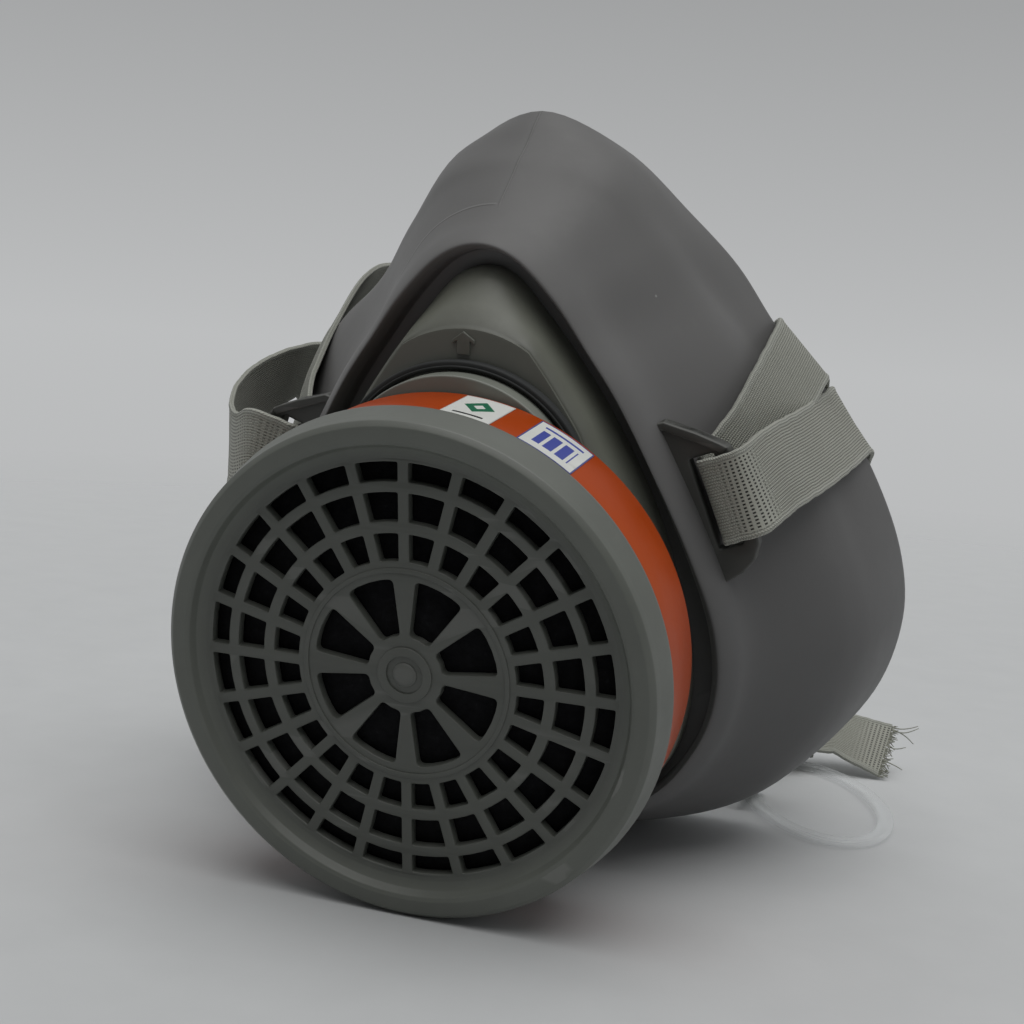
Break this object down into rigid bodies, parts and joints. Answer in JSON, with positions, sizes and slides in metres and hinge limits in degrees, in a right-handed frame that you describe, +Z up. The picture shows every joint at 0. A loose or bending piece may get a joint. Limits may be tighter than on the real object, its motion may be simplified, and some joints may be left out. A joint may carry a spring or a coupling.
{
  "type": "respirator",
  "caption": "Rubber half-face respirator with one screw-in gas cartridge, pierced filter cap, webbing head straps, crown ring and neck clasp",
  "frame": {"origin": "centre of the bounding box's footprint, on the ground the respirator stands on", "axes": "+Z up; +X to the wearer's left; the filter cap faces -Y, tipped 10 degrees down; the straps run back along +Y"},
  "size_m": [0.1388, 0.17, 0.1355],
  "materials": {
    "cap_plastic": "satin",
    "fleece": "matte",
    "sieve_plastic": "matte",
    "carbon": "matte",
    "shell_plastic": "satin",
    "label_orange": "glossy",
    "label_white": "satin",
    "seal_rubber": "matte",
    "seat_plastic": "satin",
    "housing_plastic": "satin",
    "flap_rubber": "satin",
    "face_rubber": "satin",
    "webbing": "woven",
    "buckle_plastic": "satin",
    "clear_plastic": "clear"
  },
  "bodies": {
    "mask": {"facepiece": "face_rubber", "front_housing": "housing_plastic", "cartridge_seat": "seat_plastic", "seat_seal": "seal_rubber", "inhalation_valve_seat": "housing_plastic", "exhalation_valve_seat": "housing_plastic", "exhalation_valve_cover": "cap_plastic", "strap_lug_right": "housing_plastic", "strap_lug_left": "housing_plastic", "strap_right": "webbing", "strap_left": "webbing", "crown_ring": "clear_plastic", "neck_clasp_socket": "buckle_plastic"},
    "cartridge_carrier": {"cartridge_gasket": "seal_rubber"},
    "cartridge": {"cartridge_shell": "shell_plastic", "prefilter_disc": "fleece", "front_sieve": "sieve_plastic", "carbon_bed": "carbon", "rear_sieve": "sieve_plastic", "label_band": "label_orange", "label_patch_green": "label_white", "label_patch_blue": "label_white"},
    "cap": {"filter_cap": "cap_plastic"},
    "inhalation_flap": {"inhalation_valve_flap": "flap_rubber"},
    "exhalation_flap": {"exhalation_valve_flap": "flap_rubber"},
    "clasp_prong": {"neck_clasp_prong": "buckle_plastic"}
  },
  "joints": [
    {"name": "cartridge_ride", "type": "slide", "parent": "mask", "child": "cartridge_carrier", "axis": [0, -0.9839, -0.1788], "range_m": [0, 0.0021]},
    {"name": "cartridge_turn", "type": "hinge", "parent": "cartridge_carrier", "child": "cartridge", "pos_m": [-0.00064, -0.07533, 0.04091], "axis": [0, -0.9839, -0.1788], "range_deg": [0, 60]},
    {"name": "cap_pull", "type": "slide", "parent": "cartridge", "child": "cap", "axis": [0, -0.9839, -0.1788], "range_m": [0, 0.012]},
    {"name": "inhalation_lift", "type": "slide", "parent": "mask", "child": "inhalation_flap", "axis": [0, 0.9839, 0.1788], "range_m": [0, 0.002], "stiffness_N_per_m": 20, "springref_m": -0.001},
    {"name": "exhalation_lift", "type": "slide", "parent": "mask", "child": "exhalation_flap", "axis": [0, -0.1857, -0.9826], "range_m": [0, 0.0015], "stiffness_N_per_m": 20, "springref_m": -0.001},
    {"name": "clasp_release", "type": "slide", "parent": "mask", "child": "clasp_prong", "axis": [-1, 0, 0], "range_m": [0, 0.014]}
  ],
  "couplings": [
    {"joint": "cartridge_ride", "follows": "cartridge_turn", "m_per_rad": 0.00191}
  ]
}
